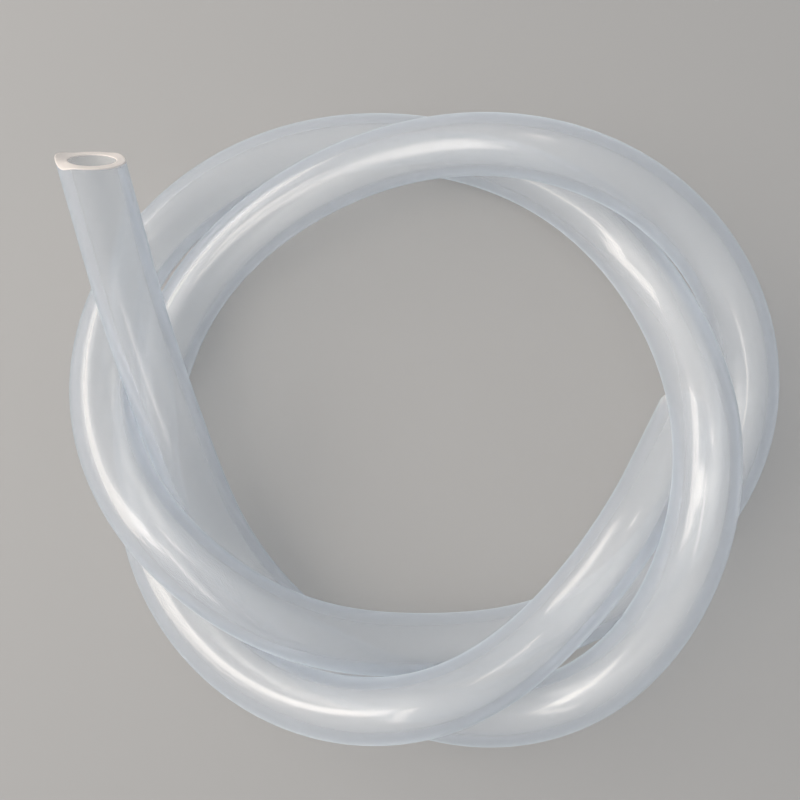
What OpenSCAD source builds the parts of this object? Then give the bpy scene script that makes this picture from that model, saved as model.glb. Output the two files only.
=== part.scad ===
// Loose coil of milky silicone laboratory tubing, as it lies on a bench.
// One length of tube makes a little over two and a half turns. The turns cross over
// and under each other, one cut end is lifted clear and the other lies under a turn.
// The origin is under the middle of the coil, on the surface that it lies on.

/* [Tube] */
// Bore of the tube
bore_d = 10; // [7:0.5:11]
// Thickness of the tube's wall
wall = 2.5; // [1.5:0.25:3.5]

/* [Coil] */
// Radius of the coil, to the middle of its average turn
coil_radius = 69; // [60:1:90]
// Straight length at the lifted end, where a fitting pushes in
free_end = 20; // [12:1:40]
// Straight length at the end that lies under a turn
inner_end = 20; // [12:1:20]

/* [Hidden] */
milky_silicone = [0.83, 0.86, 0.90];

// Outer diameter of the tube, which every offset and height of the route is counted in
tube_d = bore_d + 2 * wall;

// The route has a station every 30 degrees of winding, counter-clockwise from above,
// with the first one ahead of the lifted end and the last one past the other end
station_step = 30;
first_station = 120;
// Winding at which the tube leaves each straight end
free_winding = 152;
inner_winding = 1065;
// How far behind and ahead a heading is measured, in degrees of winding
glance = 0.5;

// How far outside the average turn the tube's centre passes each station, in tube diameters
outward = [
    3.60, 0.80, -0.65, -0.60, -0.50, 0.25, 0.80, -0.20, -0.55, -0.15, 0.00, 0.20,
    0.75, 1.20, 0.75, -0.30, -0.75, -1.00, -0.60, -0.05, 1.00, 0.90, 0.10, -0.20,
    -0.30, 0.00, 0.15, 0.60, 0.50, -0.20, -0.85, -1.15, -0.50, 0.70
];
// How high the tube's centre passes each station, in tube diameters: half a diameter is
// on the bench, and a diameter more is over another turn
height = [
    6.40, 1.90, 1.60, 0.60, 0.50, 0.50, 0.60, 2.40, 2.50, 0.60, 0.50, 0.50,
    0.50, 0.50, 1.55, 2.20, 1.70, 0.85, 0.50, 0.50, 0.50, 1.20, 2.00, 1.50,
    1.00, 0.50, 0.50, 0.50, 1.15, 2.15, 1.40, 1.85, 0.90, 0.60
];

// Rings of the sweep along the route, and corners in each ring
rings = 120;
sides = 20;
// The swept wall lies this far inside the true round wall of the straight ends,
// and runs into it over this length
seam = 0.02;
lap = 0.5;
// Facets of the straight ends
round_ends = 96;
// How far a cutting cylinder passes the faces that it opens
past = 1;

swept_r = tube_d / 2 - seam;
swept_bore_r = (bore_d / 2 + seam) / cos(180 / sides);

// Weights of the four stations around a place, which bend the route with no kink
function weights(t) = [
    pow(1 - t, 3),
    3 * pow(t, 3) - 6 * pow(t, 2) + 4,
    -3 * pow(t, 3) + 3 * pow(t, 2) + 3 * t + 1,
    pow(t, 3)
] / 6;

// A value of the route at any winding, from its values at the stations
function between(stations, winding) =
    let (place = (winding - first_station) / station_step, nearest = floor(place))
    weights(place - nearest) * [for (step = [-1:2]) stations[nearest + step]];

// The middle of the tube at any winding
function centre(winding) =
    let (r = coil_radius + tube_d * between(outward, winding))
    [r * cos(winding), r * sin(winding), tube_d * between(height, winding)];

function unit(v) = v / norm(v);

// The way the tube runs at any winding, taken from just behind it to just ahead
function heading(winding) = unit(centre(winding + glance) - centre(winding - glance));

// Corners of one ring, which stands square across the tube
function ring(middle, ahead, radius) =
    let (across = unit(cross(ahead, [0, 0, 1])), upward = cross(across, ahead))
    [for (corner = [0:sides - 1])
        let (angle = 360 * corner / sides)
        middle + radius * (cos(angle) * across + sin(angle) * upward)];

free_start = centre(free_winding);
free_way = -heading(free_winding);
inner_start = centre(inner_winding);
inner_way = heading(inner_winding);

// Middle and heading of each ring, from inside one straight end to inside the other
turns = [for (i = [0:rings - 1])
    free_winding + (inner_winding - free_winding) * i / (rings - 1)];
middles = concat(
    [free_start + 2 * lap * free_way],
    [for (winding = turns) centre(winding)],
    [inner_start + 2 * lap * inner_way]
);
headings = concat(
    [-free_way],
    [for (winding = turns) heading(winding)],
    [inner_way]
);
ring_count = len(middles);

outer_corners = [for (i = [0:ring_count - 1]) each ring(middles[i], headings[i], swept_r)];
bore_corners = [for (i = [0:ring_count - 1]) each ring(middles[i], headings[i], swept_bore_r)];

// Number of a corner in the list of corners, with the bore's rings after the outer ones
function at(ring_number, corner) = ring_number * sides + corner % sides;
function at_bore(ring_number, corner) = ring_count * sides + at(ring_number, corner);

// Two triangles that fill four corners
function filled(a, b, c, d) = [[a, b, c], [a, c, d]];

// Where the coil's box has its middle and its foot, with both mouths counted in
outline = concat(
    outer_corners,
    ring(free_start + (lap + free_end) * free_way, free_way, tube_d / 2),
    ring(inner_start + (lap + inner_end) * inner_way, inner_way, tube_d / 2)
);
function lowest(axis) = min([for (corner = outline) corner[axis]]);
function highest(axis) = max([for (corner = outline) corner[axis]]);
box_middle = [(lowest(0) + highest(0)) / 2, (lowest(1) + highest(1)) / 2, lowest(2)];

// The wound stretch of tube, swept along the route with its bore open
module wound_tube() {
    last = ring_count - 1;
    polyhedron(
        points = concat(outer_corners, bore_corners),
        faces = [
            for (i = [0:last - 1], k = [0:sides - 1])
                each filled(at(i, k), at(i, k + 1), at(i + 1, k + 1), at(i + 1, k)),
            for (i = [0:last - 1], k = [0:sides - 1])
                each filled(at_bore(i, k), at_bore(i + 1, k), at_bore(i + 1, k + 1), at_bore(i, k + 1)),
            for (k = [0:sides - 1])
                each filled(at(0, k), at_bore(0, k), at_bore(0, k + 1), at(0, k + 1)),
            for (k = [0:sides - 1])
                each filled(at(last, k), at(last, k + 1), at_bore(last, k + 1), at_bore(last, k))
        ]
    );
}

// A straight end with a true round wall and bore, cut square, over the end of the wound tube
module straight_end(start, way, length) {
    translate(start)
        rotate([0, acos(way.z), atan2(way.y, way.x)])
            translate([0, 0, lap])
                difference() {
                    cylinder(h = length, d = tube_d, $fn = round_ends);
                    translate([0, 0, -past])
                        cylinder(h = length + 2 * past, d = bore_d, $fn = round_ends);
                }
}

module tubing() {
    color(milky_silicone)
        translate(-box_middle)
            union() {
                wound_tube();
                straight_end(free_start, free_way, free_end);
                straight_end(inner_start, inner_way, inner_end);
            }
}

tubing();
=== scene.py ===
# %% [markdown]
# # A loose coil of milky silicone tubing
#
# The object is one length of soft laboratory tube, 15 mm across with a 10 mm bore, that lies on
# a bench in a little over two and a half turns. The turns cross over and under each other.
# One cut end is lifted clear, and the other one lies under a turn.
#
# Everything is in metres, in the same frame as the solid model of the part, which is loaded first.
# Its box is kept, because the finished picture model has to fill the same space.

from math import atan2, cos, floor, pi, radians, sin, sqrt, tan

import bmesh
import bpy
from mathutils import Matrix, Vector


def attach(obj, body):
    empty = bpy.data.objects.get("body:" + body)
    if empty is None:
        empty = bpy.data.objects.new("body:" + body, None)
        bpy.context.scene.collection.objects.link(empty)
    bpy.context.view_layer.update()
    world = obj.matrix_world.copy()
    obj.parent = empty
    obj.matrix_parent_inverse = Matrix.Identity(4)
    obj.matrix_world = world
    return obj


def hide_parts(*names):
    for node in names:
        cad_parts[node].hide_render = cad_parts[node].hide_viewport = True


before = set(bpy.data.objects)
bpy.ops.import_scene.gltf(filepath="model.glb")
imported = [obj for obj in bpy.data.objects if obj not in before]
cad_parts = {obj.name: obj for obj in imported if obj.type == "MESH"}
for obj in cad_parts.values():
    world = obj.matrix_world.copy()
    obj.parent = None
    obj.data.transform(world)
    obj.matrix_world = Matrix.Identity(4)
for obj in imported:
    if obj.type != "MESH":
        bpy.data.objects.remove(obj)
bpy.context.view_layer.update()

# %% [markdown]
# ## The camera
#
# The photograph looks almost straight down on the coil, tipped 5 degrees towards it. It was taken
# from close by: the lifted end is a fifth nearer to the lens than the bench, and looks that much
# wider. So the camera's distance matters as much as its direction, and both are set before
# anything is modelled.

# %% Camera
VIEW_AIM = Vector((-0.0077, 0.0053, 0.0075))
VIEW_DISTANCE = 0.2254
VIEW_TIP = radians(5)
VIEW_LENS = 39.15

camera = bpy.data.objects.new("camera", bpy.data.cameras.new("camera"))
bpy.context.scene.collection.objects.link(camera)
camera.data.lens = VIEW_LENS
camera.data.clip_start = 0.01
camera.rotation_euler = (VIEW_TIP, 0, 0)
camera.location = VIEW_AIM + VIEW_DISTANCE * Vector((0, -sin(VIEW_TIP), cos(VIEW_TIP)))
bpy.context.scene.camera = camera
print("camera is", round(camera.location.z * 1000), "mm above the bench")

# %% [markdown]
# ## The route of the tube
#
# A hand-wound coil is not a neat spiral. Each turn wanders in and out, and it climbs where it
# has to pass over another one. So the route has a station every 30 degrees of winding, which says
# how far out and how high the tube passes, counted in tube diameters. A smooth curve is drawn
# through their neighbourhood: it is a cubic B-spline, so the tube never kinks.

# %% Sizes and stations
BORE = 0.010
WALL = 0.0025
TUBE = BORE + 2 * WALL
COIL_RADIUS = 0.069
# the solid's straight end, with the half millimetre that it starts past the winding
STRAIGHT_END = 0.0205

STATION_STEP = 30
FIRST_STATION = 120
FREE_WINDING = 152
INNER_WINDING = 1065
# how far behind and ahead a heading is measured, in degrees of winding
GLANCE = 0.5

OUTWARD = [
    3.60, 0.80, -0.65, -0.60, -0.50, 0.25, 0.80, -0.20, -0.55, -0.15, 0.00, 0.20,
    0.75, 1.20, 0.75, -0.30, -0.75, -1.00, -0.60, -0.05, 1.00, 0.90, 0.10, -0.20,
    -0.30, 0.00, 0.15, 0.60, 0.50, -0.20, -0.85, -1.15, -0.50, 0.70,
]
HEIGHT = [
    6.40, 1.90, 1.60, 0.60, 0.50, 0.50, 0.60, 2.40, 2.50, 0.60, 0.50, 0.50,
    0.50, 0.50, 1.55, 2.20, 1.70, 0.85, 0.50, 0.50, 0.50, 1.20, 2.00, 1.50,
    1.00, 0.50, 0.50, 0.50, 1.15, 2.15, 1.40, 1.85, 0.90, 0.60,
]


def weights(t):
    """How much each of the four stations around a place counts."""
    return [
        (1 - t) ** 3 / 6,
        (3 * t**3 - 6 * t**2 + 4) / 6,
        (-3 * t**3 + 3 * t**2 + 3 * t + 1) / 6,
        t**3 / 6,
    ]


def between(stations, winding):
    """A value of the route at any winding, from its values at the stations."""
    place = (winding - FIRST_STATION) / STATION_STEP
    nearest = floor(place)
    return sum(w * s for w, s in zip(weights(place - nearest), stations[nearest - 1:nearest + 3]))


def centre(winding):
    """The middle of the tube at any winding, in degrees."""
    r = COIL_RADIUS + TUBE * between(OUTWARD, winding)
    angle = radians(winding)
    return Vector((r * cos(angle), r * sin(angle), TUBE * between(HEIGHT, winding)))


def heading(winding):
    """The way the tube runs at any winding, taken from just behind it to just ahead."""
    return (centre(winding + GLANCE) - centre(winding - GLANCE)).normalized()


print("winding covers", (INNER_WINDING - FREE_WINDING) / 360, "turns")

# %% [markdown]
# The route becomes a row of stops, each with its place and its heading. Two straight stretches
# stand at its ends, as the cut ends of a stiff tube do. The stops are then shifted so that the
# middle of the coil stands over the origin, which is where the solid model has it.

# %% Stops along the tube
STOPS = 520
END_STOPS = 14


def straight_stops(start, way, length, count):
    """Stops along a straight end, from its mouth to where the winding takes over."""
    return [start + way * length * (1 - i / count) for i in range(count)]


def wound_windings():
    span = INNER_WINDING - FREE_WINDING
    return [FREE_WINDING + span * i / STOPS for i in range(STOPS + 1)]


free_way = -heading(FREE_WINDING)
inner_way = heading(INNER_WINDING)
free_stops = straight_stops(centre(FREE_WINDING), free_way, STRAIGHT_END, END_STOPS)
inner_stops = straight_stops(centre(INNER_WINDING), inner_way, STRAIGHT_END, END_STOPS)[::-1]
stops = free_stops + [centre(w) for w in wound_windings()] + inner_stops
ways = [-free_way] * END_STOPS + [heading(w) for w in wound_windings()] + [inner_way] * END_STOPS


def reach(axis, side):
    """How far the tube's outside comes along an axis, on its low or high side."""
    edge = [
        stop[axis] + side * TUBE / 2 * sqrt(max(0, 1 - way[axis] ** 2))
        for stop, way in zip(stops, ways)
    ]
    return max(edge) if side > 0 else min(edge)


shift = Vector(((reach(0, -1) + reach(0, 1)) / 2, (reach(1, -1) + reach(1, 1)) / 2, reach(2, -1)))
stops = [p - shift for p in stops]

# %% [markdown]
# ## The tube
#
# The tube is swept along its stops: at each one stands an outer ring and a bore ring, square
# across the tube. Real tube is cut by hand with a blade, so each mouth is a flat face whose two
# edges are slightly rounded. The cut of the lifted mouth is out of square, and the blade squeezed
# the soft tube as it went through. So the outer edge stands proud at the left, drops away just in
# front of that, and is drawn in a little at the right.
#
# A mesh is used and not a bevelled curve, because the bore shows through the wall. The light has
# to meet a second surface inside the first one. Each ring also gets its place along the tube as
# a UV coordinate, so that the finish can follow the tube round its turns.

# %% Tube mesh
AROUND = 72
EDGE_ROUND = 0.00025
EDGE_STEPS = 3
# where the rings stand on a mouth's flat face, as shares of the wall from the outside in
FACE_SHARES = (0.25, 0.5, 0.75)
# how far back the lifted mouth was cut, how much out of square, and towards which side
CUT_BACK = 0.0016
SLANT = radians(10.2)
SLANT_AT = radians(-19)
# where the outer edge leaves the flat cut: its place round the tube and its spread, in degrees,
# then how far it sinks back along the tube and how far it stands out, in metres
EDGE_MARKS = [
    (-8, 46, -0.00090, 0.00015),
    (42, 38, 0.00084, 0.00000),
    (196, 58, -0.00010, -0.00055),
    (230, 32, -0.00030, 0.00000),
]
# how fast those marks fade from the outer edge towards the bore
MARK_FADE = 1.5


def frame_at(way):
    """The tube's own sideways and upward directions, square to the way it runs."""
    across = way.cross(Vector((0, 0, 1))).normalized()
    return across, across.cross(way)


def ring(middle, way, radius, cut=None):
    """One ring of points. cut(angle, radius) says how far each one sinks back and stands out."""
    across, upward = frame_at(way)
    points = []
    for k in range(AROUND):
        angle = 2 * pi * k / AROUND
        back, out = cut(angle, radius) if cut else (0, 0)
        side = cos(angle) * across + sin(angle) * upward
        points.append(middle + (radius + out) * side + back * way)
    return points


def lifted_cut(angle, radius):
    """The slanted cut, with its marks. Angle 0 is the left side, and 90 degrees the near one."""
    back, out = CUT_BACK - tan(SLANT) * radius * cos(angle - SLANT_AT), 0
    share = max(0, (radius - BORE / 2) / WALL) ** MARK_FADE
    for place, spread, sinks, stands in EDGE_MARKS:
        off = abs((angle - radians(place) + pi) % (2 * pi) - pi)
        here = share * cos(min(1, off / radians(spread)) * pi / 2) ** 2
        back += here * sinks
        out += here * stands
    return back, out


def mouth_rings(stop, way, outward, cut):
    """Rings over a rounded mouth, from the outer wall to the bore.

    outward is 1 where the mouth faces along way, and -1 where it faces against it.
    """
    rings = []
    for i in range(1, EDGE_STEPS + 1):
        turn = pi / 2 * i / EDGE_STEPS
        radius = TUBE / 2 - EDGE_ROUND * (1 - cos(turn))
        back = EDGE_ROUND * (1 - sin(turn))
        rings.append(ring(stop - outward * way * back, way, radius, cut))
    for share in FACE_SHARES:
        rings.append(ring(stop, way, TUBE / 2 - WALL * share, cut))
    for i in range(EDGE_STEPS + 1):
        turn = pi / 2 * i / EDGE_STEPS
        radius = BORE / 2 + EDGE_ROUND * (1 - sin(turn))
        back = EDGE_ROUND * (1 - cos(turn))
        rings.append(ring(stop - outward * way * back, way, radius, cut))
    return rings


def fading_cut(i):
    """The cut for the wall rings behind the lifted mouth: it fades out along the straight end."""
    share = max(0, 1 - i / END_STOPS)
    if not share:
        return None
    return lambda angle, radius: [share * part for part in lifted_cut(angle, radius)]


def tube_rings():
    """Every ring, in one closed loop: outer wall, far mouth, bore, lifted mouth."""
    first = stops[0] + ways[0] * EDGE_ROUND
    last = stops[-1] - ways[-1] * EDGE_ROUND
    places = list(zip([first] + stops[1:-1] + [last], ways))
    outer = [ring(stop, way, TUBE / 2, fading_cut(i)) for i, (stop, way) in enumerate(places)]
    bore = [ring(stop, way, BORE / 2, fading_cut(i)) for i, (stop, way) in enumerate(places)]
    inner_mouth = mouth_rings(stops[-1], ways[-1], 1, None)
    free_mouth = mouth_rings(stops[0], ways[0], -1, lifted_cut)
    return outer, inner_mouth[:-1], bore[::-1], free_mouth[:-1][::-1]


groups = tube_rings()
rings = [one for group in groups for one in group]
verts = [p for one in rings for p in one]
faces = []
for i in range(len(rings)):
    after = (i + 1) % len(rings)
    for k in range(AROUND):
        k2 = (k + 1) % AROUND
        faces.append((i * AROUND + k, i * AROUND + k2, after * AROUND + k2, after * AROUND + k))

mesh = bpy.data.meshes.new("tube")
mesh.from_pydata(verts, [], faces)
tube = bpy.data.objects.new("tube", mesh)
bpy.context.scene.collection.objects.link(tube)
print("tube has", len(faces) * 2, "triangles")

# %% [markdown]
# The faces are turned outward and shaded smoothly. Each face knows which of three finishes it
# takes: the extruded skin outside, the blade-cut mouths, or the bore. Its UV coordinate is its
# place round the tube and its place along it, both in metres.

# %% Faces, finishes and UV
for face in mesh.polygons:
    face.use_smooth = True
outward_faces = bmesh.new()
outward_faces.from_mesh(mesh)
bmesh.ops.recalc_face_normals(outward_faces, faces=outward_faces.faces)
silicone_volume = outward_faces.calc_volume(signed=True)
outward_faces.to_mesh(mesh)
outward_faces.free()

distance = [0.0]
for a, b in zip(stops, stops[1:]):
    distance.append(distance[-1] + (b - a).length)
outer, inner_mouth, bore, free_mouth = groups
along = distance + [distance[-1]] * len(inner_mouth) + distance[::-1] + [0.0] * len(free_mouth)
SKIN, CUT, INSIDE = 0, 1, 2
finish_of = (
    [SKIN] * (len(outer) - 1)
    + [CUT] * (len(inner_mouth) + 1)
    + [INSIDE] * (len(bore) - 1)
    + [CUT] * (len(free_mouth) + 1)
)
uv = mesh.uv_layers.new(name="along_tube")
for face in mesh.polygons:
    i, k = divmod(face.index, AROUND)
    face.material_index = finish_of[i]
    for loop in face.loop_indices:
        row, column = divmod(mesh.loops[loop].vertex_index, AROUND)
        if k == AROUND - 1 and column == 0:
            column = AROUND
        uv.data[loop].uv = (column / AROUND * pi * TUBE, along[row])
print("silicone, cm3:", round(silicone_volume * 1e6, 1))

# %% [markdown]
# ## The silicone
#
# Cured silicone is milky: light goes in, is scattered a little, and comes out soft. A strand that
# lies beneath still shows through, so the surface lets most of the light pass and only blurs it.
# The milk scatters blue light best, so a bluish veil lies where the wall is seen at a glancing
# angle. A smooth top layer adds the gloss, which the blurred body alone would lose.
#
# Shadow rays go through the wall with a slight loss, because a translucent tube throws a pale
# shadow and fills its own inside with light.

# %% Finishes
SILICONE_IOR = 1.41
VEIL_COLOUR = (0.76, 0.88, 1.0)
VEIL_SPREAD = 0.5
GLOSS_ROUGHNESS = 0.14
SHADOW_LOSS = (0.84, 0.845, 0.85)


def silicone(name, passing, colour, rough, veil, gloss):
    """A finish that passes some of the light and scatters the rest.

    veil is its milky bloom at a glancing view, and gloss is the weight of its smooth top layer.
    """
    material = bpy.data.materials.new(name)
    material.use_nodes = True
    nodes, links = material.node_tree.nodes, material.node_tree.links
    surface, output = nodes["Principled BSDF"], nodes["Material Output"]
    surface.inputs["Base Color"].default_value = (*colour, 1)
    surface.inputs["Roughness"].default_value = rough
    surface.inputs["IOR"].default_value = SILICONE_IOR
    surface.inputs["Transmission Weight"].default_value = passing
    surface.inputs["Sheen Weight"].default_value = veil
    surface.inputs["Sheen Roughness"].default_value = VEIL_SPREAD
    surface.inputs["Sheen Tint"].default_value = (*VEIL_COLOUR, 1)
    surface.inputs["Coat Weight"].default_value = gloss
    surface.inputs["Coat Roughness"].default_value = GLOSS_ROUGHNESS
    surface.inputs["Coat IOR"].default_value = SILICONE_IOR
    clear = nodes.new("ShaderNodeBsdfTransparent")
    clear.inputs["Color"].default_value = (*SHADOW_LOSS, 1)
    rays = nodes.new("ShaderNodeLightPath")
    either = nodes.new("ShaderNodeMixShader")
    links.new(rays.outputs["Is Shadow Ray"], either.inputs["Fac"])
    links.new(surface.outputs["BSDF"], either.inputs[1])
    links.new(clear.outputs["BSDF"], either.inputs[2])
    links.new(either.outputs["Shader"], output.inputs["Surface"])
    return material


FINISHES = [
    # name, share of the light that passes, colour, roughness, veil and gloss
    ("silicone_skin", 0.76, (0.85, 0.905, 0.99), 0.22, 0.85, 1.0),
    ("silicone_cut", 0.12, (1.0, 0.94, 0.90), 0.50, 0.0, 0.0),
    ("silicone_bore", 0.84, (0.93, 0.92, 0.89), 0.15, 0.0, 0.0),
]
for finish in FINISHES:
    mesh.materials.append(silicone(*finish))
print("finishes:", [material.name for material in mesh.materials])

# %% [markdown]
# ## The bench and the light
#
# The bench is plain and pale, and a little darker than the tube, so that the tube reads as the
# lighter thing. Broad panels stand overhead, as ceiling lights do over a bench. Each turn
# mirrors them as one long, soft band, and the bands are what makes the tube look glossy.

# %% Bench
HALF_BENCH = 6
bench_mesh = bpy.data.meshes.new("bench")
bench_corners = [(x * HALF_BENCH, y * HALF_BENCH, 0) for x, y in ((-1, -1), (1, -1), (1, 1), (-1, 1))]
bench_mesh.from_pydata(bench_corners, [], [(0, 1, 2, 3)])
bench = bpy.data.objects.new("bench", bench_mesh)
bpy.context.scene.collection.objects.link(bench)
bench_finish = bpy.data.materials.new("bench")
bench_finish.use_nodes = True
bench_surface = bench_finish.node_tree.nodes["Principled BSDF"]
bench_surface.inputs["Base Color"].default_value = (0.475, 0.48, 0.485, 1)
bench_surface.inputs["Roughness"].default_value = 0.7
bench_mesh.materials.append(bench_finish)

# %% Lights
world = bpy.data.worlds.new("room")
world.use_nodes = True
room = world.node_tree.nodes["Background"]
room.inputs["Color"].default_value = (0.93, 0.96, 1.0, 1)
room.inputs["Strength"].default_value = 0.40
# the wall that the camera sees is paler than the light that the room gives
wall = world.node_tree.nodes.new("ShaderNodeBackground")
wall.inputs["Color"].default_value = (0.60, 0.61, 0.62, 1)
seen = world.node_tree.nodes.new("ShaderNodeLightPath")
either = world.node_tree.nodes.new("ShaderNodeMixShader")
for here, there in (
    (seen.outputs["Is Camera Ray"], either.inputs["Fac"]),
    (room.outputs["Background"], either.inputs[1]),
    (wall.outputs["Background"], either.inputs[2]),
    (either.outputs["Shader"], world.node_tree.nodes["World Output"].inputs["Surface"]),
):
    world.node_tree.links.new(here, there)
bpy.context.scene.world = world

PANEL_COLOUR = (1.0, 0.91, 0.81)
PANELS = [
    # place, width and length in metres, and brightness
    ((-0.70, 0.03, 1.00), 0.44, 0.38, 5.0),
    ((-1.18, 0.50, 0.80), 0.54, 1.80, 4.3),
    ((-0.36, -0.33, 1.10), 0.12, 0.85, 4.0),
    ((0.07, 0.47, 1.00), 0.14, 0.18, 4.5),
]
for i, (place, width, length, brightness) in enumerate(PANELS):
    light = bpy.data.lights.new(f"panel_{i}", "AREA")
    light.shape = "RECTANGLE"
    light.size, light.size_y = width, length
    light.energy = brightness * pi * width * length
    light.color = PANEL_COLOUR
    panel = bpy.data.objects.new(f"panel_{i}", light)
    panel.location = place
    panel.rotation_euler = (0, atan2(place[0], place[2]), 0)
    bpy.context.scene.collection.objects.link(panel)
bpy.context.scene.view_settings.view_transform = "Standard"
print(len(PANELS), "ceiling panels")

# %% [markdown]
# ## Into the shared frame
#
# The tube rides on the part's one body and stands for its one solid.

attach(tube, "root")
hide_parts("tubing")
